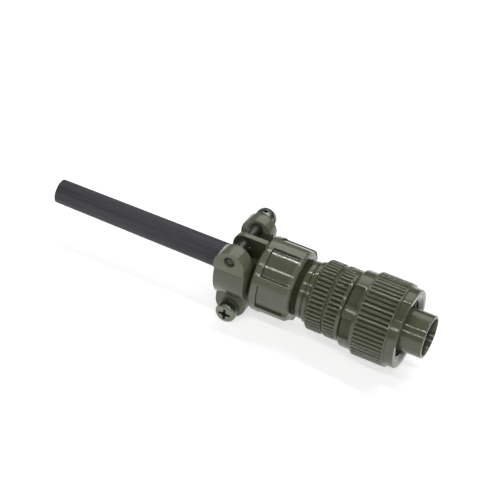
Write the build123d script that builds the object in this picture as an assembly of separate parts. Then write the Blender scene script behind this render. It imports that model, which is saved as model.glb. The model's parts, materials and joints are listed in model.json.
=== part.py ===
from build123d import *
import math
import os

os.makedirs("parts", exist_ok=True)

# All sizes are millimetres. The plug lies along X and mates towards +X.
# Stations are distances backwards from the nose face, which is at X = 0.
# Angles are in degrees, and 0 points along -Y, the side of the upper screw's tip, and 90 points up.

# Clearances
running_clearance = 0.05
knurl_relief = 0.01
seat_gap = 0.02
slip_clearance = 0.15
float_gap = 0.2

# Nose of the shell, with its polarizing key
nose_radius = 5.72
nose_wall = 0.72
nose_chamfer = 0.35
nose_length = 8.6
key_width = 2.3
key_height = 0.45
key_angle = 64.0

# Shell behind the nose
shoulder_radius = 6.55
shoulder_length = 1.6
journal_radius = 6.95
insert_radius = 5.8
shell_thread_radius = 7.6
shell_thread_relief = 0.5

# Grip bands of the shell and of the end bell
shell_grip_radius = 9.47
shell_grip_length = 4.5
parting_depth = 0.45
parting_width = 0.4
bell_grip_radius = 9.38
bell_grip_length = 4.5
grip_slot_count = 48
grip_slot_width = 0.55
grip_slot_depth = 0.5
grip_slot_margin = 0.55
grip_chamfer = 0.25

# Coupling nut
nut_front_station = 5.5
nut_collar_step = 0.6
nut_collar_length = 2.4
nut_front_chamfer = 0.4
nut_knurl_radius = 11.1
nut_knurl_length = 9.1
nut_rear_step = 0.76
nut_rear_length = 3.8
nut_rear_chamfer = 0.5
nut_mouth_radius = 8.7
nut_mouth_depth = 0.8
nut_thread_radius = 7.94
nut_thread_depth = 0.5
nut_thread_length = 7.8
nut_lip_length = 1.9
nut_chamber_clearance = 0.74
nut_slot_count = 54
nut_slot_width = 0.5
nut_slot_depth = 0.42
nut_slot_margin = 0.5
nut_notch_depth = 0.65
nut_notch_length = 3.1
nut_rear_notches = ((-10.0, 23.0), (41.0, 73.0))
front_notch_angle = 61.0
front_notch_span = 26.0
front_notch_depth = 0.45

# Rings that hold the nut on the shell
washer_thickness = 0.35
washer_width = 0.9
ring_thickness = 0.7
ring_height = 0.75
ring_groove_depth = 0.5
ring_opening = 40.0

# Insert, contacts and the ring that holds them
insert_recess = 1.3
insert_split_station = 14.0
insert_end_station = 22.0
insert_ring_thickness = 0.9
insert_ring_height = 1.1
insert_ring_groove_depth = 0.5
contact_count = 3
contact_circle_radius = 2.84
contact_angle = 90.0
contact_radius = 1.15
contact_bore_radius = 0.82
contact_bore_depth = 6.2
contact_recess = 0.4
contact_collar_radius = 1.5
contact_collar_length = 1.4
contact_tail_length = 4.2
contact_cup_depth = 3.4
contact_cup_floor = 0.5
lead_in_radius = 0.95

# End bell behind its grip band
bell_ring_radius = 8.23
bell_ring_length = 1.5
bell_neck_radius = 7.68
bell_neck_length = 1.8
bell_thread_radius = 7.4
bell_thread_exposed = 1.4
bell_thread_length = 6.2
bell_bore_radius = 5.6
bell_seat_wall = 1.0

# Cable clamp body
clamp_radius = 10.0
clamp_length = 10.7
clamp_flange_length = 2.1
clamp_front_chamfer = 1.0
clamp_rear_chamfer = 0.5
clamp_rear_wall = 2.6
clamp_rear_bore_radius = 5.0
clamp_panels = ((-73.5, -37.8), (-22.2, 17.7), (33.3, 81.5))
clamp_panel_depth = 0.6
ear_thickness = 1.7
ear_offset = 2.2
ear_top = 11.3
ear_inner = 5.8
ear_reach = 3.2
ear_top_corner = 3.3
ear_inner_corner = 1.8
ear_root = 0.5

# Saddles and their screws
screw_station = 51.1
screw_height = 9.0
strap_width = 8.4
lobe_height = 7.4
strap_outer_radius = 11.2
strap_centre_height = 3.0
strap_half_height = 4.4
jaw_gap = 3.2
jaw_shoulder = 4.9
threaded_lobe_inner = 7.5
threaded_lobe_thickness = 4.4
clear_lobe_inner = 4.0
clear_lobe_thickness = 3.4
lobe_step = 5.7
screw_radius = 1.45
screw_hole_radius = 1.7
screw_head_radius = 2.8
screw_head_height = 1.7
screw_head_chamfer = 0.6
cross_width = 0.62
cross_span = 3.2
cross_depth = 1.1
screw_tip_recess = 0.3
flat_washer_radius = 2.8
flat_washer_thickness = 0.5
lock_washer_radius = 2.6
lock_washer_thickness = 1.0
lock_washer_split = 0.7

# Rubber sleeve
sleeve_front_station = 42.6
sleeve_end_station = 105.6
sleeve_front_radius = 3.57
sleeve_end_radius = 3.2
sleeve_bore_radius = 2.3
sleeve_chamfer = 0.4

# Stations worked out from the sizes above
shoulder_end = nose_length + shoulder_length
nut_knurl_start = nut_front_station + nut_collar_length
nut_knurl_end = nut_knurl_start + nut_knurl_length
nut_rear_station = nut_knurl_end + nut_rear_length
nut_lip_station = nut_rear_station - nut_lip_length
nut_thread_start = nut_front_station + nut_mouth_depth
nut_thread_end = nut_thread_start + nut_thread_length
nut_chamber_radius = journal_radius + ring_height + nut_chamber_clearance
nut_collar_radius = nut_knurl_radius - nut_collar_step
nut_rear_radius = nut_knurl_radius - nut_rear_step
washer_station = nut_lip_station - running_clearance - washer_thickness
ring_station = washer_station - seat_gap - ring_thickness
shell_grip_start = nut_rear_station + float_gap
parting_radius = shell_grip_radius - parting_depth
shell_grip_end = shell_grip_start + shell_grip_length
bell_start = shell_grip_end + parting_width
bell_grip_end = bell_start + bell_grip_length
bell_ring_end = bell_grip_end + bell_ring_length
bell_neck_end = bell_ring_end + bell_neck_length
clamp_front = bell_neck_end + bell_thread_exposed
clamp_rear = clamp_front + clamp_length
bell_end = clamp_front + bell_thread_length
shell_end = bell_grip_end - bell_seat_wall
shell_thread_end = shell_end - shell_thread_relief
nose_bore_radius = nose_radius - nose_wall
insert_front_radius = nose_bore_radius - running_clearance
threaded_lobe_outer = threaded_lobe_inner + threaded_lobe_thickness
clear_lobe_outer = clear_lobe_inner + clear_lobe_thickness
insert_step_station = shoulder_end
contact_collar_station = insert_split_station - contact_collar_length / 2


def turned(*corners):
    """Solid of revolution about X. A corner is (station, radius) or (station, radius, chamfer)."""
    points = [(-corner[0], corner[1]) for corner in corners]
    profile = make_face(Polyline(*points, close=True))
    for corner in corners:
        if len(corner) == 3:
            spot = Vector(-corner[0], corner[1])
            profile = chamfer(profile.vertices().sort_by_distance(spot)[0], corner[2])
    return revolve(profile, Axis.X)


def tube(start, end, outer, inner):
    """Plain ring between two stations."""
    return turned((start, inner), (start, outer), (end, outer), (end, inner))


def sector(start, end, inner, outer, first_angle, last_angle):
    """Part of a ring between two stations and two angles."""
    profile = make_face(Polyline((-start, inner), (-start, outer), (-end, outer), (-end, inner), close=True))
    return Rot(180.0 - last_angle, 0, 0) * revolve(profile, Axis.X, revolution_arc=last_angle - first_angle)


def around(solid, count):
    """Copies of a solid spaced evenly about X."""
    return [Rot(360.0 * number / count, 0, 0) * solid for number in range(count)]


def knurl_cutter(start, end, radius, depth, width, count):
    """What is cut away between two stations to leave a band of straight flat-topped ridges."""
    top = radius - knurl_relief
    floor = radius - depth
    half = math.degrees(width / 2 / radius)
    corners = []
    for number in range(count):
        middle = 360.0 * number / count
        for side, reach in ((-half, top), (-half, floor), (half, floor), (half, top)):
            angle = math.radians(middle + side)
            corners.append((reach * math.cos(angle), reach * math.sin(angle)))
    ridges = make_face(Polyline(*corners, close=True))
    return extrude(Plane.YZ.offset(-end) * (Circle(radius + 1) - ridges), end - start)


def along_y(start, length, x, z, radius):
    """Round bar along Y from one place over a signed length."""
    plane = Plane(origin=(x, start, z), x_dir=(1, 0, 0), z_dir=(0, 1 if length > 0 else -1, 0))
    return extrude(plane * Circle(radius), abs(length))


def plug_shell():
    outer = turned(
        (0, 0), (0, nose_radius - nose_chamfer), (nose_chamfer, nose_radius), (nose_length, nose_radius),
        (nose_length, shoulder_radius), (shoulder_end, shoulder_radius), (shoulder_end, journal_radius),
        (shell_grip_start, journal_radius), (shell_grip_start, shell_grip_radius, grip_chamfer),
        (shell_grip_end, shell_grip_radius, grip_chamfer), (shell_grip_end, parting_radius),
        (bell_start, parting_radius), (bell_start, shell_thread_radius),
        (shell_thread_end, shell_thread_radius), (shell_thread_end, shell_thread_radius - nut_thread_depth),
        (shell_end, shell_thread_radius - nut_thread_depth), (shell_end, 0),
    )
    key_top = nose_radius + key_height
    key = Pos(-nose_length / 2, 0, 0) * Box(nose_length - 2 * nose_chamfer, key_width, 2 * key_top)
    key = Rot(90.0 - key_angle, 0, 0) * (key & Pos(0, 0, key_top) * Box(4 * nose_length, 4 * key_width, 2 * key_top))
    bore = turned(
        (-1, 0), (-1, nose_bore_radius), (insert_step_station, nose_bore_radius),
        (insert_step_station, insert_radius), (shell_end + 1, insert_radius), (shell_end + 1, 0),
    )
    ring_groove = tube(ring_station, ring_station + ring_thickness + seat_gap, journal_radius + 1,
                       journal_radius - ring_groove_depth)
    insert_groove = tube(insert_end_station + seat_gap, insert_end_station + 2 * seat_gap + insert_ring_thickness,
                         insert_radius + insert_ring_groove_depth, insert_radius - 1)
    knurl = knurl_cutter(shell_grip_start + 2 * grip_slot_margin, shell_grip_end - grip_slot_margin,
                         shell_grip_radius, grip_slot_depth, grip_slot_width, grip_slot_count)
    return outer - knurl + key - bore - ring_groove - insert_groove


def coupling_nut():
    collar_edge = nut_collar_radius
    body = turned(
        (nut_front_station, nut_mouth_radius), (nut_front_station, collar_edge, nut_front_chamfer),
        (nut_knurl_start, collar_edge), (nut_knurl_start, nut_knurl_radius, grip_chamfer),
        (nut_knurl_end, nut_knurl_radius, grip_chamfer), (nut_knurl_end, nut_rear_radius),
        (nut_rear_station, nut_rear_radius, nut_rear_chamfer),
        (nut_rear_station, journal_radius + running_clearance),
        (nut_lip_station, journal_radius + running_clearance), (nut_lip_station, nut_chamber_radius),
        (nut_thread_end, nut_chamber_radius), (nut_thread_end, nut_thread_radius - nut_thread_depth),
        (nut_thread_start, nut_thread_radius - nut_thread_depth),
    )
    knurl = knurl_cutter(nut_knurl_start + nut_slot_margin, nut_knurl_end - nut_slot_margin,
                         nut_knurl_radius, nut_slot_depth, nut_slot_width, nut_slot_count)
    notches = []
    for first, last in nut_rear_notches:
        for turn in (0.0, 180.0):
            notches.append(sector(nut_rear_station - nut_notch_length, nut_rear_station + 1,
                                  nut_rear_radius - nut_notch_depth, nut_knurl_radius, first + turn, last + turn))
    for turn in (0.0, 180.0):
        middle = front_notch_angle + turn
        notches.append(sector(nut_front_station + nut_front_chamfer, nut_knurl_start,
                              nut_collar_radius - front_notch_depth, nut_knurl_radius + 1,
                              middle - front_notch_span / 2, middle + front_notch_span / 2))
    return body - knurl - notches


def nut_washer():
    inner = journal_radius + running_clearance
    return tube(washer_station, washer_station + washer_thickness, inner + washer_width, inner)


def nut_ring():
    inner = journal_radius - ring_groove_depth + seat_gap
    return sector(ring_station + seat_gap, ring_station + ring_thickness, inner,
                  journal_radius + ring_height, ring_opening, 360.0)


def contact_places():
    return [Rot(contact_angle + 360.0 * number / contact_count, 0, 0) * Pos(0, contact_circle_radius, 0)
            for number in range(contact_count)]


def contact():
    front = insert_recess + contact_recess
    collar = contact_collar_station
    collar_end = collar + contact_collar_length
    tail_end = insert_end_station + contact_tail_length
    body = turned(
        (front, 0), (front, contact_radius), (collar, contact_radius), (collar, contact_collar_radius),
        (collar_end, contact_collar_radius), (collar_end, contact_radius), (tail_end, contact_radius),
        (tail_end, 0),
    )
    socket = turned((front - 1, 0), (front - 1, contact_bore_radius), (front + contact_bore_depth, contact_bore_radius),
                    (front + contact_bore_depth, 0))
    cup = turned((tail_end - contact_cup_depth, 0), (tail_end - contact_cup_depth, contact_bore_radius),
                 (tail_end + 1, contact_bore_radius), (tail_end + 1, 0))
    open_length = contact_cup_depth - contact_cup_floor
    opening = Pos(-tail_end, contact_radius, 0) * Box(2 * open_length, 2 * contact_radius, 4 * contact_radius)
    return body - socket - cup - opening


def insert_hole(start, end):
    """Room for one contact between two stations, with its collar's pocket where that lies within them."""
    collar = contact_collar_station
    radius = contact_radius + seat_gap
    pocket = contact_collar_radius + seat_gap
    pocket_start = max(start - 1, collar - seat_gap)
    pocket_end = min(end + 1, collar + contact_collar_length + seat_gap)
    return tube(start - 1, end + 1, radius, 0) + tube(pocket_start, pocket_end, pocket, 0)


def front_insulator():
    front = insert_recess
    step = insert_step_station + seat_gap
    body = turned(
        (front, 0), (front, insert_front_radius), (step, insert_front_radius),
        (step, insert_radius - seat_gap), (insert_split_station, insert_radius - seat_gap),
        (insert_split_station, 0),
    )
    lead_in = tube(front - 1, front + contact_recess, lead_in_radius, 0)
    hole = insert_hole(front + contact_recess + 1, insert_split_station) + lead_in
    return body - [place * hole for place in contact_places()]


def rear_insulator():
    start = insert_split_station + seat_gap
    body = tube(start, insert_end_station, insert_radius - seat_gap, 0)
    return body - [place * insert_hole(start, insert_end_station) for place in contact_places()]


def insert_ring():
    start = insert_end_station + seat_gap
    outer = insert_radius + insert_ring_groove_depth - seat_gap
    return sector(start + seat_gap, start + insert_ring_thickness, insert_radius - insert_ring_height, outer,
                  ring_opening, 360.0)


def end_bell():
    thread_bore = shell_thread_radius + seat_gap
    body = turned(
        (bell_start, thread_bore), (bell_start, bell_grip_radius, grip_chamfer),
        (bell_grip_end, bell_grip_radius, grip_chamfer), (bell_grip_end, bell_ring_radius),
        (bell_ring_end, bell_ring_radius), (bell_ring_end, bell_neck_radius), (bell_neck_end, bell_neck_radius),
        (bell_neck_end, bell_thread_radius), (bell_end, bell_thread_radius), (bell_end, bell_bore_radius),
        (shell_end + seat_gap, bell_bore_radius), (shell_end + seat_gap, thread_bore),
    )
    knurl = knurl_cutter(bell_start + grip_slot_margin, bell_grip_end - grip_slot_margin,
                         bell_grip_radius, grip_slot_depth, grip_slot_width, grip_slot_count)
    return body - knurl


def upper_ear():
    """Flat ear that the upper screw passes through; the lower one is the same, half a turn round."""
    height = ear_top - ear_inner
    reach = screw_station + ear_reach - clamp_rear
    plan = Pos(-clamp_rear - (reach - ear_root) / 2, (ear_top + ear_inner) / 2) * Rectangle(reach + ear_root, height)
    plan = fillet(plan.vertices().sort_by_distance(Vector(-clamp_rear - reach, ear_top))[0], ear_top_corner)
    plan = fillet(plan.vertices().sort_by_distance(Vector(-clamp_rear - reach, ear_inner))[0], ear_inner_corner)
    plate = extrude(Plane.XZ.offset(ear_offset) * plan, ear_thickness / 2, both=True)
    hole = along_y(-clamp_radius, 2 * clamp_radius, -screw_station, screw_height, screw_hole_radius)
    return plate - hole


def clamp_body():
    thread_bore = bell_thread_radius + seat_gap
    wall_station = clamp_rear - clamp_rear_wall
    body = turned(
        (clamp_front, thread_bore), (clamp_front, clamp_radius, clamp_front_chamfer),
        (clamp_rear, clamp_radius, clamp_rear_chamfer), (clamp_rear, clamp_rear_bore_radius),
        (wall_station, clamp_rear_bore_radius), (wall_station, thread_bore),
    )
    panels = []
    for first, last in clamp_panels:
        panel = sector(clamp_front - 1, clamp_rear - clamp_flange_length, clamp_radius - clamp_panel_depth,
                       clamp_radius + 1, first, last)
        panels += around(panel, 2)
    return body - panels + around(upper_ear(), 2)


def saddle():
    """Near saddle: its threaded lobe is at the top and its clearance lobe at the bottom."""
    jaw_radius = sleeve_front_radius + slip_clearance
    inner_end = jaw_gap / 2
    outline = Polyline(
        (-inner_end, jaw_shoulder), (-clear_lobe_inner, jaw_shoulder), (-threaded_lobe_inner, lobe_step + 2),
        (-threaded_lobe_inner, screw_height + strap_width), (-threaded_lobe_outer, screw_height + strap_width),
        (-threaded_lobe_outer, lobe_step), (-threaded_lobe_inner, lobe_step),
        (-threaded_lobe_inner, -strap_half_height), (-clear_lobe_outer, -strap_half_height),
        (-clear_lobe_outer, -screw_height - strap_width), (-clear_lobe_inner, -screw_height - strap_width),
        (-clear_lobe_inner, -jaw_shoulder), (-inner_end, -jaw_shoulder), close=True,
    )
    band = Pos(-strap_outer_radius, (lobe_step - strap_half_height) / 2) * Rectangle(
        2 * (strap_outer_radius - inner_end), lobe_step + strap_half_height)
    barrel = Pos(0, strap_centre_height) * Circle(strap_outer_radius) & band
    section = make_face(outline) + barrel - Circle(jaw_radius)
    plane = Plane(origin=(-screw_station, 0, 0), x_dir=(0, 1, 0), z_dir=(1, 0, 0))
    strap = extrude(plane * section, strap_width / 2, both=True)
    plan = Plane.XZ * Pos(-screw_station, 0) * Rot(0, 0, 90) * SlotCenterToCenter(2 * lobe_height, strap_width)
    strap = strap & extrude(plan, 2 * clamp_radius, both=True)
    threaded = along_y(0, -2 * clamp_radius, -screw_station, screw_height, screw_radius + running_clearance)
    clear = along_y(0, -2 * clamp_radius, -screw_station, -screw_height, screw_hole_radius)
    return strap - threaded - clear


def screw_stack_places():
    """Distances from the middle plane of the flat washer, lock washer and head under one screw."""
    flat = clear_lobe_outer + seat_gap
    lock = flat + flat_washer_thickness + seat_gap
    head = lock + lock_washer_thickness + seat_gap
    return flat, lock, head


def screw():
    """Lower screw: its head is on the near side."""
    head_place = screw_stack_places()[2]
    tip = threaded_lobe_outer - screw_tip_recess
    x = -screw_station
    z = -screw_height
    shank = along_y(tip, -tip - head_place - screw_head_height / 2, x, z, screw_radius)
    head = along_y(-head_place, -screw_head_height, x, z, screw_head_radius)
    head = chamfer(head.edges().sort_by(Axis.Y)[0], screw_head_chamfer)
    cross = Pos(x, -head_place - screw_head_height, z) * (
        Box(cross_span, 2 * cross_depth, cross_width) + Box(cross_width, 2 * cross_depth, cross_span))
    return shank + head - cross


def flat_washer():
    place = screw_stack_places()[0]
    disc = along_y(-place, -flat_washer_thickness, -screw_station, -screw_height, flat_washer_radius)
    hole = along_y(0, -2 * clamp_radius, -screw_station, -screw_height, screw_hole_radius)
    return disc - hole


def lock_washer():
    place = screw_stack_places()[1]
    disc = along_y(-place, -lock_washer_thickness, -screw_station, -screw_height, lock_washer_radius)
    hole = along_y(0, -2 * clamp_radius, -screw_station, -screw_height, screw_hole_radius)
    split = Pos(-screw_station, -place, -screw_height - lock_washer_radius) * Rot(0, 30, 0) * Box(
        lock_washer_split, 4 * lock_washer_thickness, 2 * (lock_washer_radius - screw_radius) + 1)
    return disc - hole - split


def rubber_sleeve():
    return turned(
        (sleeve_front_station, sleeve_bore_radius), (sleeve_front_station, sleeve_front_radius),
        (clamp_rear, sleeve_front_radius), (sleeve_end_station, sleeve_end_radius, sleeve_chamfer),
        (sleeve_end_station, sleeve_bore_radius),
    )


def opposite(solid):
    """The same piece turned half way round the plug's axis."""
    return Rot(180, 0, 0) * solid


pieces = {
    "plug_shell": plug_shell(),
    "coupling_nut": coupling_nut(),
    "nut_wave_washer": nut_washer(),
    "nut_retaining_ring": nut_ring(),
    "front_insulator": front_insulator(),
    "rear_insulator": rear_insulator(),
    "insert_retaining_ring": insert_ring(),
    "end_bell": end_bell(),
    "clamp_body": clamp_body(),
    "near_saddle": saddle(),
    "far_saddle": opposite(saddle()),
    "lower_screw": screw(),
    "lower_flat_washer": flat_washer(),
    "lower_lock_washer": lock_washer(),
    "upper_screw": opposite(screw()),
    "upper_flat_washer": opposite(flat_washer()),
    "upper_lock_washer": opposite(lock_washer()),
    "rubber_sleeve": rubber_sleeve(),
}
for letter, place in zip("abc", contact_places()):
    pieces["contact_socket_" + letter] = place * contact()

for name, solid in pieces.items():
    export_step(solid, "parts/" + name + ".step")
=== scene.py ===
import json
import math
import bpy
from mathutils import Matrix, Vector

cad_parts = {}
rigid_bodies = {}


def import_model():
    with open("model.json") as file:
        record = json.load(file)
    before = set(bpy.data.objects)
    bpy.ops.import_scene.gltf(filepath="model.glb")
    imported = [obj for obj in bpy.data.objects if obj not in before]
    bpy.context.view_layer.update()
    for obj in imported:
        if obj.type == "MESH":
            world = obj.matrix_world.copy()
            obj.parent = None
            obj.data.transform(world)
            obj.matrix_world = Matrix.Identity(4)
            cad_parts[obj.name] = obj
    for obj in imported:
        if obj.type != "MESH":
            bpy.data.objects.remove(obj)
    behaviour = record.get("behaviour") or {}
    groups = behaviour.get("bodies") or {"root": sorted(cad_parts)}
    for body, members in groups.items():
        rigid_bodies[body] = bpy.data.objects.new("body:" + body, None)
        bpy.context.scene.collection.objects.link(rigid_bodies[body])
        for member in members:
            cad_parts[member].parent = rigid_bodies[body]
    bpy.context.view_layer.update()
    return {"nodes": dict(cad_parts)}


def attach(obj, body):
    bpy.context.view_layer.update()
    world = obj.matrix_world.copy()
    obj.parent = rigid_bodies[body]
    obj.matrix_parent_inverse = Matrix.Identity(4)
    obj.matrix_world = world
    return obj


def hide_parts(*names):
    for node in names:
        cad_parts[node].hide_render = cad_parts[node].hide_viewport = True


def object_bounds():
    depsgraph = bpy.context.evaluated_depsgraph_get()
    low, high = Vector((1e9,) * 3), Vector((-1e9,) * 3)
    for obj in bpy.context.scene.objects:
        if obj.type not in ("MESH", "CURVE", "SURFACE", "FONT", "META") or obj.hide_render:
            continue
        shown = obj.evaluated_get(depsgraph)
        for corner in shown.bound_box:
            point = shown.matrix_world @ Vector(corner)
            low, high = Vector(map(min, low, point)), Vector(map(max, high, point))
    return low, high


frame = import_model()

# The studio. The plug rests on a white sheet inside a pale tent, with three long strip lamps
# beside and above it, a soft lamp ahead and one above and behind it. The camera looks down on
# its near side with a long lens.
MM = 0.001
photo_pixels = 500
sensor_width = 36.0
focal_pixels = 2300.0
camera_turn = math.radians(20.94)
camera_height = math.radians(39.02)
camera_roll = math.radians(8.02)
camera_distance = 580.4
aim_point = Vector((-30.0, 0.0, 0.0))
aim_offset = Vector((17.87, -11.17))
nearest_seen = 0.05

level_right = Vector((math.cos(camera_turn), math.sin(camera_turn), 0.0))
back = Vector((math.sin(camera_turn) * math.cos(camera_height),
               -math.cos(camera_turn) * math.cos(camera_height), math.sin(camera_height)))
level_up = back.cross(level_right)
right = level_right * math.cos(camera_roll) + level_up * math.sin(camera_roll)
up = level_up * math.cos(camera_roll) - level_right * math.sin(camera_roll)
camera_place = (aim_point - right * aim_offset.x - up * aim_offset.y + back * camera_distance) * MM
bpy.ops.object.camera_add()
camera = bpy.context.object
camera.matrix_world = Matrix.Translation(camera_place) @ Matrix((right, up, back)).transposed().to_4x4()
camera.data.sensor_width = sensor_width
camera.data.lens = focal_pixels / photo_pixels * sensor_width
camera.data.clip_start = nearest_seen
camera.data.dof.use_dof = False
bpy.context.scene.camera = camera
bpy.context.scene.view_settings.view_transform = "Standard"


def node(tree, kind, **settings):
    """Adds a shader node. Settings named by a socket set that socket, and a socket given as one is linked."""
    made = tree.nodes.new(kind)
    for name, value in settings.items():
        if hasattr(made, name):
            setattr(made, name, value)
            continue
        socket = made.inputs[name.replace("_", " ")]
        if isinstance(value, bpy.types.NodeSocket):
            tree.links.new(value, socket)
        else:
            socket.default_value = value
    return made


def seen_by_eye(tree):
    """One for the camera and for what it sees in gloss and glass, and zero for light on the object."""
    path = node(tree, "ShaderNodeLightPath")
    seen = node(tree, "ShaderNodeMath", operation="MAXIMUM")
    tree.links.new(path.outputs["Is Camera Ray"], seen.inputs[0])
    tree.links.new(path.outputs["Is Glossy Ray"], seen.inputs[1])
    through = node(tree, "ShaderNodeMath", operation="MAXIMUM")
    tree.links.new(seen.outputs[0], through.inputs[0])
    tree.links.new(path.outputs["Is Transmission Ray"], through.inputs[1])
    return through.outputs[0]


sky_bottom = -0.1
sky_top = 0.9
sky_low = 0.25
sky_high = 1.5
sky_white = 1.0
world = bpy.data.worlds.new("studio_air")
world.use_nodes = True
bpy.context.scene.world = world
air = world.node_tree
sky_turn = node(air, "ShaderNodeTexCoord")
sky_height = node(air, "ShaderNodeSeparateXYZ", Vector=sky_turn.outputs["Generated"])
sky_level = node(air, "ShaderNodeMapRange", Value=sky_height.outputs["Z"], From_Min=sky_bottom,
                 From_Max=sky_top, To_Min=sky_low, To_Max=sky_high)
sky_mix = node(air, "ShaderNodeMapRange", Value=seen_by_eye(air), To_Max=sky_white)
air.links.new(sky_level.outputs[0], sky_mix.inputs["To Min"])
air.links.new(sky_mix.outputs[0], air.nodes["Background"].inputs["Strength"])

floor_size = 3.0
floor_gap = 0.0002
floor_cuts = 4
paper_roughness = 0.9
paper_shine = 0.1
paper_grain_scale = 40.0
paper_dark = 0.80
paper_light = 0.84
paper_white = 0.62
floor_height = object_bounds()[0][2] - floor_gap
bpy.ops.object.select_all(action="DESELECT")
bpy.ops.mesh.primitive_plane_add(size=floor_size, location=(0, 0, floor_height))
sheet = bpy.context.object
sheet.name = "white_sheet"
bpy.ops.object.transform_apply(location=True)
bpy.ops.object.mode_set(mode="EDIT")
bpy.ops.mesh.subdivide(number_cuts=floor_cuts)
bpy.ops.object.mode_set(mode="OBJECT")
sheet_paper = bpy.data.materials.new("sheet_paper")
sheet_paper.use_nodes = True
fibres = sheet_paper.node_tree
paper = fibres.nodes["Principled BSDF"]
paper.inputs["Roughness"].default_value = paper_roughness
paper.inputs["Specular IOR Level"].default_value = paper_shine
paper_place = node(fibres, "ShaderNodeTexCoord")
paper_grain = node(fibres, "ShaderNodeTexNoise", Vector=paper_place.outputs["Object"],
                   Scale=paper_grain_scale)
paper_tone = node(fibres, "ShaderNodeMapRange", Value=paper_grain.outputs[0], To_Min=paper_dark,
                  To_Max=paper_light)
fibres.links.new(paper_tone.outputs[0], paper.inputs["Base Color"])
paper.inputs["Emission Color"].default_value = (1, 1, 1, 1)
paper_glow = node(fibres, "ShaderNodeMapRange", Value=seen_by_eye(fibres), To_Max=paper_white)
fibres.links.new(paper_glow.outputs[0], paper.inputs["Emission Strength"])
sheet.data.materials.append(sheet_paper)

lamp_target = (-0.03, 0.0, 0.0)
strip_distance = 0.6
strip_size = (0.7, 0.03)
strip_lamps = ((27.0, 0.85), (58.0, 0.85), (107.0, 1.3))
front_lamp_place = (0.5, -0.25, 0.15)
front_lamp_size = (0.3, 0.3)
front_lamp_power = 0.45
top_lamp_place = (-0.05, 0.44, 0.44)
top_lamp_size = (0.6, 0.35)
top_lamp_power = 1.1


def soft_lamp(name, place, size, power):
    """A large rectangular lamp that points at the plug."""
    bpy.ops.object.light_add(type="AREA", location=place)
    lamp = bpy.context.object
    lamp.name = name
    lamp.data.shape = "RECTANGLE"
    lamp.data.size = size[0]
    lamp.data.size_y = size[1]
    lamp.data.energy = power
    lamp.rotation_euler = (Vector(lamp_target) - Vector(place)).to_track_quat("-Z", "Y").to_euler()


for strip_angle, strip_power in strip_lamps:
    strip_turn = math.radians(strip_angle)
    strip_place = (lamp_target[0], -strip_distance * math.cos(strip_turn),
                   strip_distance * math.sin(strip_turn))
    soft_lamp("strip_lamp", strip_place, strip_size, strip_power)
soft_lamp("front_lamp", front_lamp_place, front_lamp_size, front_lamp_power)
soft_lamp("top_lamp", top_lamp_place, top_lamp_size, top_lamp_power)

# The plug shell, turned from aluminium bar and painted. Its keyed nose enters the mating half,
# the smooth journal behind it carries the coupling nut, and its ribbed band is held while the
# end bell is screwed on.
weld = 0.000001
on_surface = 0.02
shell_columns = 192
columns_per_rib = 4
columns_per_slot = 2
nose_radius = 5.72
nose_bore = 5.0
nose_rim_rounding = 0.25
nose_length = 8.6
shoulder_radius = 6.55
shoulder_end = 10.2
journal_radius = 6.95
insert_radius = 5.8
shell_band_radius = 9.47
shell_band_start = 21.0
shell_slot_start = 22.1
shell_band_end = 25.5
band_rounding = 0.7
band_margin = 0.75
band_run_out = 0.15
band_slot_depth = 0.5
band_slot_taper = 0.09
tooth_rounding = 0.13
parting_radius = 8.75
bell_front = 25.9
shell_thread_radius = 7.6
shell_thread_lead = 0.5
shell_end = 29.4
shell_edge = 0.09
key_first_angle = 52.5
key_last_angle = 75.0
key_blank = 0.7
key_top = 6.17
olive_dark = (0.090, 0.096, 0.058)
olive_light = (0.130, 0.138, 0.086)
# Painted shade: a darker, matt copy of the enamel for grooves, corners and gaps between parts.
painted_shade_dark = (0.030, 0.032, 0.017)
painted_shade_light = (0.050, 0.052, 0.029)
enamel_gloss = (0.09, 0.18)
patch_scale = 300.0
sheen_scale = 700.0
sheen_low = 0.3
sheen_high = 0.7
skin_strength = 0.6


def section(*corners, steps=4):
    """Points of a section in metres. A corner is (station, radius) or (station, radius, rounding) in mm."""
    places = [Vector((-corner[0], 0.0, corner[1])) * MM for corner in corners]
    points = []
    for number, corner in enumerate(corners):
        place = places[number]
        if len(corner) == 2:
            points.append(place)
            continue
        start = place + (places[number - 1] - place).normalized() * corner[2] * MM
        end = place + (places[(number + 1) % len(places)] - place).normalized() * corner[2] * MM
        for step in range(steps + 1):
            share = step / steps
            points.append(start * (1 - share) ** 2 + place * 2 * share * (1 - share) + end * share ** 2)
    return points


def draw_line(name, points):
    """A closed line of edges, drawn by pulling a single point from corner to corner."""
    bpy.ops.object.select_all(action="DESELECT")
    bpy.ops.mesh.primitive_plane_add(size=MM)
    piece = bpy.context.object
    piece.name = name
    bpy.context.tool_settings.mesh_select_mode = (True, False, False)
    bpy.ops.object.mode_set(mode="EDIT")
    bpy.ops.mesh.merge(type="CENTER")
    bpy.ops.transform.translate(value=points[0])
    for start, end in zip(points, points[1:] + points[:1]):
        bpy.ops.mesh.extrude_region_move(TRANSFORM_OT_translate={"value": end - start})
    bpy.ops.mesh.select_all(action="SELECT")
    bpy.ops.mesh.remove_doubles(threshold=weld)
    return piece


def clean_up(piece):
    """Welds the mesh and turns its faces outwards, from edit mode."""
    bpy.ops.mesh.select_all(action="SELECT")
    bpy.ops.mesh.remove_doubles(threshold=weld)
    bpy.ops.mesh.normals_make_consistent(inside=False)
    bpy.ops.object.mode_set(mode="OBJECT")
    return piece


def spun(name, points, columns, centre=(0, 0, 0), axis=(1, 0, 0)):
    """A turned ring: the section is drawn as a closed line and spun about an axis."""
    piece = draw_line(name, points)
    bpy.ops.mesh.spin(steps=columns, angle=2 * math.pi, center=centre, axis=axis)
    return clean_up(piece)


def take(piece):
    """Makes a piece the active one and the only one selected."""
    bpy.ops.object.select_all(action="DESELECT")
    piece.select_set(True)
    bpy.context.view_layer.objects.active = piece


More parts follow.
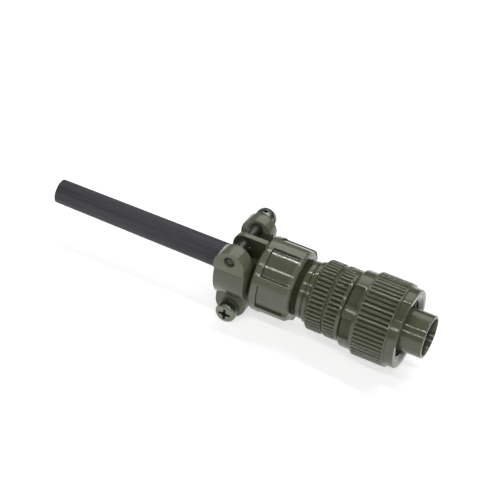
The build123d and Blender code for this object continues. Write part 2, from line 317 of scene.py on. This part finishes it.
def polar(place):
    """Station, radius and angle of a place: the angle is in degrees from the near side upwards."""
    angle = math.degrees(math.atan2(place.z, -place.y)) % 360
    return -place.x / MM, math.hypot(place.y, place.z) / MM, angle


def choose_faces(piece, test):
    """Goes into edit mode with only those faces selected whose station, radius and angle pass the test."""
    mesh = piece.data
    take(piece)
    bpy.context.tool_settings.mesh_select_mode = (False, False, True)
    mesh.vertices.foreach_set("select", [False] * len(mesh.vertices))
    mesh.edges.foreach_set("select", [False] * len(mesh.edges))
    mesh.polygons.foreach_set("select", [test(*polar(face.center)) for face in mesh.polygons])
    bpy.ops.object.mode_set(mode="EDIT")


def within(angle, first, last):
    """Whether an angle lies between two others on the circle."""
    return (angle - first) % 360 < (last - first) % 360


def cut_slots(piece, start, end, radius, columns, depth, taper, run_out=on_surface):
    """Sinks straight grooves with sloping walls into a band, every few columns, gives their floors painted
    shade and rounds their lips. They run out over the band's rounded ends down to run_out below its radius."""
    pitch = 360.0 * columns_per_rib / columns

    def in_slot(station, face_radius, angle):
        column = int((angle % pitch) / pitch * columns_per_rib)
        return start < station < end and abs(face_radius - radius) < run_out and column < columns_per_slot

    choose_faces(piece, in_slot)
    bpy.ops.mesh.inset(thickness=taper * MM, depth=-depth * MM, use_even_offset=False)
    # The floors take the piece's second finish, its painted shade.
    piece.active_material_index = 1
    bpy.ops.object.material_slot_assign()
    bpy.ops.mesh.select_more()
    bpy.ops.mesh.region_to_loop()
    bpy.ops.mesh.bevel(offset=tooth_rounding * MM, segments=2, affect="EDGES", clamp_overlap=True)
    bpy.ops.object.mode_set(mode="OBJECT")


def soften(piece, width, parts=2, angle=32.0):
    """Rounds the sharp edges as paint and tumbling do, and welds the rounding's ends where it runs out."""
    take(piece)
    edge = piece.modifiers.new("edge", "BEVEL")
    edge.width = width * MM
    edge.segments = parts
    edge.limit_method = "ANGLE"
    edge.angle_limit = math.radians(angle)
    edge.use_clamp_overlap = True
    bpy.ops.object.modifier_apply(modifier=edge.name)
    bpy.ops.object.mode_set(mode="EDIT")
    bpy.ops.mesh.select_all(action="SELECT")
    bpy.ops.mesh.dissolve_degenerate(threshold=weld)
    bpy.ops.object.mode_set(mode="OBJECT")


def settle(piece, smooth_angle=38.0):
    """Leaves a finished piece at the origin with smooth curves and crisp corners."""
    take(piece)
    bpy.ops.object.transform_apply(location=True, rotation=True, scale=True)
    bpy.ops.object.shade_smooth_by_angle(angle=math.radians(smooth_angle))


def paint(name, dark, light, smooth, rough, grain=1500.0, grain_height=0.02, shine=0.5):
    """Semi-gloss enamel: two close tones in soft patches, an orange-peel skin and uneven gloss."""
    finish = bpy.data.materials.new(name)
    finish.use_nodes = True
    tree = finish.node_tree
    shader = tree.nodes["Principled BSDF"]
    shader.inputs["Specular IOR Level"].default_value = shine
    place = node(tree, "ShaderNodeTexCoord").outputs["Object"]
    patches = node(tree, "ShaderNodeTexNoise", Vector=place, Scale=patch_scale, Detail=5.0)
    tone = node(tree, "ShaderNodeMix", data_type="RGBA")
    tree.links.new(patches.outputs[0], tone.inputs[0])
    tone.inputs[6].default_value = (*dark, 1.0)
    tone.inputs[7].default_value = (*light, 1.0)
    tree.links.new(tone.outputs[2], shader.inputs["Base Color"])
    sheen = node(tree, "ShaderNodeTexNoise", Vector=place, Scale=sheen_scale, Detail=3.0)
    gloss = node(tree, "ShaderNodeMapRange", Value=sheen.outputs[0], From_Min=sheen_low, From_Max=sheen_high,
                 To_Min=smooth, To_Max=rough)
    tree.links.new(gloss.outputs[0], shader.inputs["Roughness"])
    skin = node(tree, "ShaderNodeTexNoise", Vector=place, Scale=grain, Detail=2.0)
    bump = node(tree, "ShaderNodeBump", Height=skin.outputs[0], Strength=skin_strength,
                Distance=grain_height * MM)
    tree.links.new(bump.outputs[0], shader.inputs["Normal"])
    return finish


def recess(name):
    """The same enamel made matt and darker as painted shade, for grooves, corners and gaps between parts."""
    return paint(name, painted_shade_dark, painted_shade_light, smooth=0.6, rough=0.75, shine=0.2)


def on_key(station, radius, angle):
    """Whether a face of the shell lies under the key."""
    return (nose_rim_rounding < station < nose_length and abs(radius - nose_radius) < on_surface
            and within(angle, key_first_angle, key_last_angle))


shell = spun("keyed_shell", section(
    (0, nose_bore), (0, nose_radius, nose_rim_rounding), (nose_length, nose_radius),
    (nose_length, shoulder_radius), (shoulder_end, shoulder_radius), (shoulder_end, journal_radius),
    (shell_band_start, journal_radius), (shell_band_start, shell_band_radius, band_rounding),
    (shell_slot_start, shell_band_radius), (shell_band_end - band_margin, shell_band_radius),
    (shell_band_end, shell_band_radius, band_rounding), (shell_band_end, parting_radius),
    (bell_front, parting_radius), (bell_front, shell_thread_radius),
    (shell_end - shell_thread_lead, shell_thread_radius),
    (shell_end - shell_thread_lead, shell_thread_radius - shell_thread_lead),
    (shell_end, shell_thread_radius - shell_thread_lead), (shell_end, insert_radius),
    (shoulder_end, insert_radius), (shoulder_end, nose_bore),
), shell_columns)
shell.data.materials.append(paint("shell_paint", olive_dark, olive_light, *enamel_gloss))
shell.data.materials.append(recess("shell_painted_shade"))
cut_slots(shell, shell_slot_start, shell_band_end, shell_band_radius, shell_columns,
          band_slot_depth, band_slot_taper, band_run_out)
choose_faces(shell, on_key)
key_middle = math.radians((key_first_angle + key_last_angle) / 2)
key_outward = Vector((0.0, -math.cos(key_middle), math.sin(key_middle)))
bpy.ops.mesh.extrude_region_move(TRANSFORM_OT_translate={"value": key_outward * key_blank * MM})
bpy.ops.mesh.select_more()
bpy.ops.mesh.bisect(plane_co=key_outward * key_top * MM, plane_no=key_outward, clear_outer=True,
                    use_fill=True)
clean_up(shell)
soften(shell, shell_edge)
settle(shell)
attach(shell, "plug_body")
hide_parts("plug_shell")

# The insert, two discs moulded in black thermoset and clamped in the shell by a spring ring. It
# carries three gold plated socket contacts with soldering cups at the rear. The spring rings and
# the wavy washer that hold the coupling nut are bare spring steel. All keep their solids.
insert_dark = (0.016, 0.016, 0.017)
insert_light = (0.03, 0.03, 0.031)
gold_dark = (0.72, 0.46, 0.16)
gold_light = (0.85, 0.60, 0.25)
spring_dark = (0.42, 0.42, 0.43)
spring_light = (0.55, 0.55, 0.56)
moulding_unevenness = 0.12


def moulding(name, dark, light, roughness):
    """Moulded black plastic with a faint mottle and a fine matt skin."""
    return paint(name, dark, light, roughness, roughness + moulding_unevenness, grain=3500.0,
                 grain_height=0.01)


def bare_metal(name, dark, light, smooth, rough):
    """Bare or plated metal with fine turning marks."""
    finish = paint(name, dark, light, smooth, rough, grain=2600.0, grain_height=0.004)
    finish.node_tree.nodes["Principled BSDF"].inputs["Metallic"].default_value = 1.0
    return finish


def dress(nodes, finish):
    """Gives solids that keep their own shape a finish."""
    for name in nodes:
        solid = frame["nodes"][name]
        solid.data.materials.clear()
        solid.data.materials.append(finish)


dress(["front_insulator", "rear_insulator"],
      moulding("insert_black", insert_dark, insert_light, roughness=0.4))
dress(["contact_socket_a", "contact_socket_b", "contact_socket_c"],
      bare_metal("contact_gold", gold_dark, gold_light, smooth=0.2, rough=0.32))
dress(["nut_retaining_ring", "nut_wave_washer", "insert_retaining_ring"],
      bare_metal("spring_steel", spring_dark, spring_light, smooth=0.28, rough=0.4))

# The coupling nut, turned from aluminium, cross-cut with straight grooves for the fingers and
# painted. It turns freely on the shell's journal. Its rear band and its front collar have flats
# milled in for a spanner, and a fine thread inside draws the two halves together.
nut_columns = 216
nut_front = 5.5
nut_rear = 20.8
nut_rear_rounding = 0.7
nut_edge = 0.08
collar_radius = 10.5
collar_rounding = 0.45
collar_end = 7.9
knurl_radius = 11.1
knurl_rounding = 0.3
knurl_end = 17.0
knurl_margin = 0.5
nut_slot_depth = 0.42
nut_slot_taper = 0.12
rear_band_radius = 10.34
mouth_radius = 8.7
mouth_wall = 0.5
thread_start = 6.3
thread_end = 14.1
thread_crest = 7.44
thread_root = 7.94
thread_pitch = 1.058
crest_share = 0.15
root_first_share = 0.5
root_last_share = 0.65
chamber_step = 0.1
chamber_radius = 8.44
lip_station = 18.9
lip_radius = 7.0
notch_start = 17.7
notch_wall = 0.06
notch_past_end = 1.0
notch_depth = 0.65
notch_lip = 0.2
notch_reach = 1.2
front_notch_depth = 0.45
front_notch_margin = 0.2
front_floor_lead = 0.5
front_floor_margin = 0.1
rear_notches = ((-10.0, 23.0), (41.0, 73.0))
front_notches = ((48.0, 74.0),)
notch_dark = (0.056, 0.060, 0.034)
notch_light = (0.080, 0.085, 0.050)


def thread(start, end, crest, root, pitch):
    """Corners of a row of thread grooves between two stations, in mm."""
    corners = []
    turns = int(abs(end - start) / pitch)
    step = (end - start) / turns
    for turn in range(turns):
        first = start + turn * step
        corners += [(first, crest), (first + crest_share * step, crest),
                    (first + root_first_share * step, root), (first + root_last_share * step, root)]
    return corners + [(end, crest)]


def choose_points(piece, test):
    """Goes into edit mode with only those points selected whose station, radius and angle pass the test."""
    mesh = piece.data
    take(piece)
    mesh.polygons.foreach_set("select", [False] * len(mesh.polygons))
    mesh.edges.foreach_set("select", [False] * len(mesh.edges))
    bpy.context.tool_settings.mesh_select_mode = (True, False, False)
    mesh.vertices.foreach_set("select", [test(*polar(point.co)) for point in mesh.vertices])
    bpy.ops.object.mode_set(mode="EDIT")


def sink(piece, start, end, spans, depth, radius, reach):
    """Presses part of a band towards the axis between two stations, over spans of angle on both sides. It
    takes the points that lie less than the reach under the band's radius."""
    def in_span(station, point_radius, angle):
        return (start < station < end and point_radius > radius - reach
                and any(within(angle, first + turn, last + turn)
                        for first, last in spans for turn in (0.0, 180.0)))

    choose_points(piece, in_span)
    share = (radius - depth) / radius
    bpy.ops.transform.resize(value=(1.0, share, share), center_override=(0.0, 0.0, 0.0))
    bpy.ops.object.mode_set(mode="OBJECT")


def refinish(piece, slot, test):
    """Gives the faces that pass the test another one of the piece's finishes."""
    choose_faces(piece, test)
    piece.active_material_index = slot
    bpy.ops.object.material_slot_assign()
    bpy.ops.object.mode_set(mode="OBJECT")


def on_notch_floor(station, radius, angle):
    """Whether a face of the nut lies on the floor of a milled flat."""
    on_rear = notch_start < station < nut_rear and radius < rear_band_radius - notch_lip
    on_front = (nut_front + front_floor_lead < station < collar_end - front_floor_margin
                and radius < collar_radius - front_floor_margin)
    return radius > mouth_radius + mouth_wall and (on_rear or on_front)


nut = spun("knurled_coupling_nut", section(
    (nut_front, mouth_radius), (nut_front, collar_radius, collar_rounding), (collar_end, collar_radius),
    (collar_end, knurl_radius, knurl_rounding), (collar_end + knurl_margin, knurl_radius),
    (knurl_end - knurl_margin, knurl_radius), (knurl_end, knurl_radius, knurl_rounding),
    (knurl_end, rear_band_radius), (notch_start, rear_band_radius),
    (notch_start + notch_wall, rear_band_radius), (nut_rear, rear_band_radius, nut_rear_rounding),
    (nut_rear, lip_radius), (lip_station, lip_radius), (lip_station, chamber_radius),
    (thread_end + chamber_step, chamber_radius),
    *thread(thread_end, thread_start, thread_crest, thread_root, thread_pitch),
), nut_columns)
nut.data.materials.append(paint("nut_paint", olive_dark, olive_light, *enamel_gloss))
nut.data.materials.append(recess("nut_painted_shade"))
nut.data.materials.append(paint("nut_notch", notch_dark, notch_light, smooth=0.45, rough=0.6, shine=0.3))
cut_slots(nut, collar_end + knurl_margin, knurl_end - knurl_margin, knurl_radius, nut_columns,
          nut_slot_depth, nut_slot_taper)
sink(nut, notch_start + notch_wall / 2, nut_rear + notch_past_end, rear_notches, notch_depth,
     rear_band_radius, notch_reach)
sink(nut, nut_front + front_notch_margin, collar_end - front_notch_margin, front_notches,
     front_notch_depth, collar_radius, notch_reach)
refinish(nut, 2, on_notch_floor)
soften(nut, nut_edge)
settle(nut)
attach(nut, "coupling_nut")
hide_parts("coupling_nut")

# The end bell, turned from aluminium and painted. It screws onto the back of the shell up to a
# thin parting line, has the same ribbed band, two plain rings and a thread for the cable clamp.
seat_gap = 0.02
bell_band_radius = 9.38
bell_band_end = 30.4
corner_groove = 0.2
ring_step = 0.3
ring_radius = 8.23
ring_end = 31.9
ring_rounding = 0.45
ring_groove = 0.4
neck_radius = 7.68
neck_end = 33.7
neck_front_rounding = 0.3
bell_thread_step = 0.1
bell_thread_radius = 7.4
bell_thread_root = 6.95
bell_thread_pitch = 0.95
bell_thread_margin = 0.05
bell_end = 41.3
bell_bore = 5.6
bell_edge = 0.08


def on_bell_thread(station, radius, angle):
    """Whether a face of the end bell belongs to its rear thread."""
    return (neck_end + bell_thread_margin < station < bell_end
            and bell_thread_root - bell_thread_margin < radius < bell_thread_radius + bell_thread_margin)


bell = spun("ribbed_end_bell", section(
    (bell_front, shell_thread_radius + seat_gap), (bell_front, bell_band_radius, band_rounding),
    (bell_front + band_margin, bell_band_radius), (bell_band_end - band_margin, bell_band_radius),
    (bell_band_end, bell_band_radius, band_rounding), (bell_band_end, ring_radius - corner_groove),
    (bell_band_end + corner_groove, ring_radius - corner_groove),
    (bell_band_end + ring_step, ring_radius, corner_groove), (ring_end, ring_radius, ring_rounding),
    (ring_end, neck_radius - ring_groove), (ring_end + ring_groove, neck_radius - ring_groove),
    (ring_end + ring_groove, neck_radius, neck_front_rounding), (neck_end, neck_radius, ring_rounding),
    *thread(neck_end + bell_thread_step, bell_end, bell_thread_radius, bell_thread_root, bell_thread_pitch),
    (bell_end, bell_bore), (shell_end + seat_gap, bell_bore),
    (shell_end + seat_gap, shell_thread_radius + seat_gap),
), shell_columns)
bell.data.materials.append(paint("bell_paint", olive_dark, olive_light, *enamel_gloss))
bell.data.materials.append(recess("bell_painted_shade"))
cut_slots(bell, bell_front, bell_band_end, bell_band_radius, shell_columns, band_slot_depth,
          band_slot_taper, band_run_out)
# The rear thread, seen in the gap before the clamp, takes the painted shade as well.
refinish(bell, 1, on_bell_thread)
soften(bell, bell_edge)
settle(bell)
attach(bell, "plug_body")
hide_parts("end_bell")

# The cable clamp's body, die-cast and painted, screwed on the end bell. Six sunken panels leave
# ribs for the grip, and two flat ears at its rear stand between the saddles for their screws.
clamp_columns = 288
clamp_front = 35.1
clamp_rear = 45.8
clamp_radius = 10.0
clamp_front_rounding = 1.3
clamp_rear_rounding = 0.7
clamp_edge = 0.12
flange_front = 43.7
flange_margin = 0.1
panel_wall = 0.06
panel_depth = 0.6
panel_reach = 1.6
panel_floor_margin = 0.05
clamp_bore = 7.42
clamp_bore_wall = 0.5
clamp_rear_bore = 5.0
wall_front = 43.2
clamp_panels = ((-73.5, -37.8), (-22.2, 17.7), (33.3, 81.5))
ear_offset = 2.2
ear_thickness = 1.7
ear_top = 11.3
ear_inner = 5.8
ear_root = 45.3
ear_tip = 54.3
ear_top_rounding = 3.3
ear_inner_rounding = 1.8
ear_steps = 8
ear_clearance = 0.4
flat_enough = 0.9
screw_station = 51.1
screw_height = 9.0
screw_hole = 1.7
bar_sides = 48
cast_dark = (0.125, 0.134, 0.088)
cast_light = (0.168, 0.178, 0.119)
panel_dark = (0.092, 0.098, 0.063)
panel_light = (0.124, 0.132, 0.087)


def prism(name, points, reach):
    """A closed flat outline that is filled and pulled out along one direction."""
    piece = draw_line(name, points)
    bpy.ops.mesh.edge_face_add()
    bpy.ops.mesh.extrude_region_move(TRANSFORM_OT_translate={"value": reach})
    return clean_up(piece)


def combine(piece, tool, operation):
    """Adds a second shape to a piece, cuts it away or keeps what they share, and removes the second shape."""
    bpy.context.view_layer.objects.active = piece
    change = piece.modifiers.new("change", "BOOLEAN")
    change.object = tool
    change.operation = operation
    change.solver = "EXACT"
    bpy.ops.object.modifier_apply(modifier=change.name)
    bpy.data.objects.remove(tool)


def bar_along_y(name, near, far, height, radius, sides=bar_sides):
    """A round bar across the plug at the screws' station, between two distances from its middle plane."""
    bpy.ops.object.select_all(action="DESELECT")
    bpy.ops.mesh.primitive_cylinder_add(vertices=sides, radius=radius * MM, depth=abs(far - near) * MM,
                                        location=(-screw_station * MM, (near + far) / 2 * MM, height * MM),
                                        rotation=(math.pi / 2, 0, 0))
    bar = bpy.context.object
    bar.name = name
    bpy.ops.object.transform_apply(location=True, rotation=True, scale=True)
    return bar


def on_panel_floor(station, radius, angle):
    """Whether a face of the clamp body lies on the floor of a panel."""
    return (clamp_front + clamp_front_rounding < station < flange_front - flange_margin
            and clamp_bore + clamp_bore_wall < radius < clamp_radius - panel_depth + panel_floor_margin)


def on_panel_wall(station, radius, angle):
    """Whether a face of the clamp body lies on the wall round a panel."""
    return (clamp_front + clamp_front_rounding < station < flange_front + flange_margin
            and clamp_radius - panel_depth + panel_floor_margin < radius < clamp_radius - flange_margin)


clamp = spun("panelled_clamp_body", section(
    (clamp_front, clamp_bore), (clamp_front, clamp_radius, clamp_front_rounding),
    (flange_front - panel_wall, clamp_radius), (flange_front, clamp_radius),
    (clamp_rear, clamp_radius, clamp_rear_rounding), (clamp_rear, clamp_rear_bore),
    (wall_front, clamp_rear_bore), (wall_front, clamp_bore),
), clamp_columns)
clamp.data.materials.append(paint("clamp_paint", cast_dark, cast_light, smooth=0.10, rough=0.18,
                                  grain=1300.0, grain_height=0.025))
clamp.data.materials.append(paint("clamp_recess", panel_dark, panel_light, smooth=0.07, rough=0.14,
                                  grain=2000.0, grain_height=0.022, shine=0.65))
clamp.data.materials.append(recess("clamp_painted_shade"))
sink(clamp, 0.0, flange_front - panel_wall / 2, clamp_panels, panel_depth, clamp_radius, panel_reach)
refinish(clamp, 1, on_panel_floor)
# The walls round the panels take the painted shade.
refinish(clamp, 2, on_panel_wall)
ear_outline = section((ear_root, ear_inner), (ear_tip, ear_inner, ear_inner_rounding),
                      (ear_tip, ear_top, ear_top_rounding), (ear_root, ear_top), steps=ear_steps)
for side in (1, -1):
    ear_face = -side * (ear_offset - ear_thickness / 2) * MM
    ear = prism("ear", [Vector((point.x, ear_face, side * point.z)) for point in ear_outline],
                Vector((0.0, -side * ear_thickness * MM, 0.0)))
    combine(clamp, ear, "UNION")
    combine(clamp, bar_along_y("hole", -clamp_radius, clamp_radius, side * screw_height, screw_hole),
            "DIFFERENCE")
soften(clamp, clamp_edge)
# The ears' flat faces, between the saddles, take the painted shade.
for face in clamp.data.polygons:
    if abs(face.normal.y) > flat_enough and -face.center.x > (clamp_rear + ear_clearance) * MM:
        face.material_index = 2
settle(clamp)
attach(clamp, "plug_body")
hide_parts("clamp_body")

# The two saddles, die-cast alike and painted. Each grips the rubber sleeve in its hollow, has a
# tapped lobe with a flat face at one end and a thinner lobe with a clearance hole at the other.
strap_width = 8.4
strap_outer_radius = 11.2
strap_centre_height = 3.0
strap_half_height = 4.4
strap_steps = 14
strap_face_start = 8.5
strap_face_margin = 0.2
lobe_height = 7.4
lobe_step = 5.7
lobe_run = 2.0
lobe_sides = 64
jaw_half_gap = 1.6
jaw_shoulder = 4.9
jaw_radius = 3.72
tapped_inner = 7.5
tapped_outer = 11.9
clear_inner = 4.0
clear_outer = 7.4
thread_hole = 1.5
plan_reach = 12.5
saddle_edge = 0.35


def barrel(height):
    """Distance of the saddle's round back from the middle plane at a height."""
    return math.sqrt(strap_outer_radius ** 2 - (height - strap_centre_height) ** 2)


def saddle_plan():
    """The round-ended block that gives a saddle its plan as seen along its screws."""
    half = strap_width / 2
    corners = ((-half, -lobe_height), (half, -lobe_height), (half, lobe_height), (-half, lobe_height))
    plan = bar_along_y("plan", -plan_reach, plan_reach, lobe_height, half, lobe_sides)
    lower_plan = bar_along_y("lower_plan", -plan_reach, plan_reach, -lobe_height, half, lobe_sides)
    middle_plan = prism("middle_plan", [Vector((-(screw_station + along), -plan_reach, height)) * MM
                                        for along, height in corners],
                        Vector((0.0, 2 * plan_reach * MM, 0.0)))
    combine(plan, lower_plan, "UNION")
    combine(plan, middle_plan, "UNION")
    return plan


def jaw_bar():
    """The round bar along the plug's axis that cuts the jaws to the sleeve's size."""
    bpy.ops.object.select_all(action="DESELECT")
    bpy.ops.mesh.primitive_cylinder_add(vertices=lobe_sides, radius=jaw_radius * MM,
                                        depth=2 * strap_width * MM, location=(-screw_station * MM, 0, 0),
                                        rotation=(0, math.pi / 2, 0))
    bar = bpy.context.object
    bpy.ops.object.transform_apply(location=True, rotation=True, scale=True)
    return bar


saddle_paint = paint("saddle_paint", cast_dark, cast_light, smooth=0.13, rough=0.24, grain=1300.0,
                     grain_height=0.03)
# A darker copy of the paint, as painted shade, for the round back of each strap; the lobes keep the lighter
# cast paint.
strap_painted_shade = paint("strap_painted_shade", olive_dark, olive_light, smooth=0.10, rough=0.2, grain=1100.0,
                    grain_height=0.04)
lobe_end = screw_height + strap_width
strap_heights = [lobe_step - (lobe_step + strap_half_height) * step / strap_steps
                 for step in range(strap_steps + 1)]
saddle_outline = [(jaw_half_gap, jaw_shoulder), (clear_inner, jaw_shoulder),
                  (tapped_inner, lobe_step + lobe_run), (tapped_inner, lobe_end),
                  (tapped_outer, lobe_end), (tapped_outer, lobe_step)]
saddle_outline += [(barrel(height), height) for height in strap_heights]
saddle_outline += [(clear_outer, -strap_half_height), (clear_outer, -lobe_end), (clear_inner, -lobe_end),
                   (clear_inner, -jaw_shoulder), (jaw_half_gap, -jaw_shoulder)]
saddle_front = -(screw_station - strap_width / 2)
for name, side in (("near_saddle", 1), ("far_saddle", -1)):
    saddle = prism(name + "_casting", [Vector((saddle_front, -side * away, side * height)) * MM
                                       for away, height in saddle_outline],
                   Vector((-strap_width * MM, 0.0, 0.0)))
    saddle.data.materials.append(saddle_paint)
    combine(saddle, saddle_plan(), "INTERSECT")
    combine(saddle, jaw_bar(), "DIFFERENCE")
    combine(saddle, bar_along_y("tapped", 0, -side * plan_reach, side * screw_height, thread_hole),
            "DIFFERENCE")
    combine(saddle, bar_along_y("clear", 0, -side * plan_reach, -side * screw_height, screw_hole),
            "DIFFERENCE")
    soften(saddle, saddle_edge, parts=3)
    saddle.data.materials.append(strap_painted_shade)
    # The round back of the strap, below the tapped lobe's step, takes the painted shade.
    for face in saddle.data.polygons:
        away = -side * face.center.y / MM
        if away > strap_face_start and face.center.z * side / MM < lobe_step - strap_face_margin:
            face.material_index = 1
    settle(saddle)
    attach(saddle, name)
    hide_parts(name)

# The two clamp screws, cold-headed steel with a dark green plating, with a round head and a cross
# recess. Each goes through one saddle and an ear and is screwed into the other saddle.
screw_columns = 48
screw_radius = 1.45
screw_root = 1.12
screw_pitch = 0.5
screw_crest_first = 0.17
screw_crest_last = 0.33
screw_tip = 11.6
tip_chamfer = 0.35
tip_length = 0.25
thread_past_middle = 7.0
screw_edge = 0.05
flank_depth = 0.03
head_radius = 2.8
head_flat = 1.2
head_height = 1.7
head_place = 8.96
head_side = 0.8
head_steps = 6
cross_span = 3.2
cross_width = 0.7
cross_middle = 1.3
cross_depth = 1.1
cross_reach = 1.75
cross_margin = 0.2
cross_quarter = ((cross_span / 2, -cross_width / 2), (cross_span / 2, cross_width / 2),
                 (cross_middle / 2, cross_width / 2), (cross_middle / 2, cross_middle / 2),
                 (cross_width / 2, cross_middle / 2))
plating_dark = (0.15, 0.165, 0.130)
plating_light = (0.24, 0.26, 0.208)
# Painted shade for the cross recess and the shank between the thread crests.
screw_painted_shade_dark = (0.022, 0.024, 0.018)
screw_painted_shade_light = (0.038, 0.041, 0.031)


def screw_section():
    """Corners of half a screw in mm, as distances along it and from its axis, from the tip to the head."""
    corners = [(-screw_tip, 0.0), (-screw_tip, screw_root - tip_chamfer),
               (tip_length - screw_tip, screw_root)]
    for turn in range(int((screw_tip + thread_past_middle) / screw_pitch)):
        first = -screw_tip + tip_chamfer + turn * screw_pitch
        corners += [(first, screw_root), (first + screw_crest_first, screw_radius),
                    (first + screw_crest_last, screw_radius)]
    corners += [(head_place, screw_radius), (head_place, head_radius)]
    for step in range(1, head_steps + 1):
        turn = math.pi / 2 * step / head_steps
        corners.append((head_place + head_side + (head_height - head_side) * math.sin(turn),
                        head_flat + (head_radius - head_flat) * math.cos(turn)))
    return corners + [(head_place + head_height, 0.0)]


screw_plating = bare_metal("screw_plating", plating_dark, plating_light, smooth=0.25, rough=0.4)
screw_painted_shade = paint("screw_painted_shade", screw_painted_shade_dark, screw_painted_shade_light, smooth=0.35, rough=0.5)
cross_outline = [Matrix.Rotation(math.pi / 2 * quarter, 2) @ Vector(corner) * MM for quarter in range(4)
                 for corner in cross_quarter]
for name, side in (("lower_screw", 1), ("upper_screw", -1)):
    centre = Vector((-screw_station, 0.0, -side * screw_height)) * MM
    points = [centre + Vector((0.0, -side * along, radius)) * MM for along, radius in screw_section()]
    screw = spun(name + "_pan_head", points, screw_columns, centre=centre, axis=(0, 1, 0))
    screw.data.materials.append(screw_plating)
    face_plane = -side * (head_place + head_height) * MM
    cross_floor = face_plane - side * cross_depth * MM
    cross = prism("cross", [Vector((centre.x + corner.x, cross_floor, centre.z + corner.y))
                            for corner in cross_outline], Vector((0.0, side * 2 * cross_depth * MM, 0.0)))
    combine(screw, cross, "DIFFERENCE")
    soften(screw, screw_edge)
    screw.data.materials.append(screw_painted_shade)
    # The cross recess and the shank, all but its thread crests, take the painted shade.
    for face in screw.data.polygons:
        reach = math.hypot(face.center.x - centre.x, face.center.z - centre.z) / MM
        depth = abs(face.center.y - face_plane) / MM
        on_flank = reach < screw_radius - flank_depth and depth > 2 * head_height
        in_cross = reach < cross_reach and cross_margin < depth < head_height - cross_margin
        if on_flank or in_cross:
            face.material_index = 1
    settle(screw)
    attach(screw, name)
    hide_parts(name)

# The flat washers and the split spring washers under the screw heads, pressed steel with a paler
# coat of the same dark plating. They keep their solids.
washer_dark = (0.20, 0.22, 0.18)
washer_light = (0.30, 0.32, 0.27)
dress(["lower_flat_washer", "upper_flat_washer", "lower_lock_washer", "upper_lock_washer"],
      bare_metal("washer_plating", washer_dark, washer_light, smooth=0.3, rough=0.45))

# The rubber sleeve, moulded black rubber with fine lines along it. It is open right through for
# the cable, reaches into the clamp's rear opening and is gripped by the saddles.
sleeve_columns = 64
sleeve_front = 42.6
sleeve_end = 105.6
sleeve_front_radius = 3.57
sleeve_front_rounding = 0.2
sleeve_taper = ((58.0, 3.5), (70.0, 3.42), (82.0, 3.35), (94.0, 3.27))
sleeve_end_radius = 3.2
sleeve_end_rounding = 0.4
sleeve_bore = 2.3
sleeve_bore_rounding = 0.15
sleeve_bore_stations = (90.0, 70.0)
rubber_dark = (0.012, 0.012, 0.016)
rubber_light = (0.095, 0.095, 0.107)
streak_stretch = 0.03
streak_scale = 1100.0
streak_strength = 0.5
streak_height = 0.05


def rubber(name, dark, light):
    """Matt black rubber with long faint streaks and a bloom."""
    finish = paint(name, dark, light, smooth=0.5, rough=0.65, shine=0.35)
    tree = finish.node_tree
    place = node(tree, "ShaderNodeTexCoord").outputs["Object"]
    long = node(tree, "ShaderNodeMapping", Vector=place, Scale=(streak_stretch, 1.0, 1.0))
    streaks = node(tree, "ShaderNodeTexNoise", Vector=long.outputs[0], Scale=streak_scale, Detail=5.0)
    tree.links.new(streaks.outputs[0], tree.nodes["Mix"].inputs[0])
    bump = node(tree, "ShaderNodeBump", Height=streaks.outputs[0], Strength=streak_strength,
                Distance=streak_height * MM)
    tree.links.new(bump.outputs[0], tree.nodes["Principled BSDF"].inputs["Normal"])
    return finish


sleeve = spun("rubber_sleeve_tube", section(
    (sleeve_front, sleeve_bore), (sleeve_front, sleeve_front_radius, sleeve_front_rounding),
    (clamp_rear, sleeve_front_radius), *sleeve_taper,
    (sleeve_end, sleeve_end_radius, sleeve_end_rounding), (sleeve_end, sleeve_bore, sleeve_bore_rounding),
    *((station, sleeve_bore) for station in sleeve_bore_stations),
), sleeve_columns)
sleeve.data.materials.append(rubber("sleeve_rubber", rubber_dark, rubber_light))
settle(sleeve)
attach(sleeve, "plug_body")
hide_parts("rubber_sleeve")
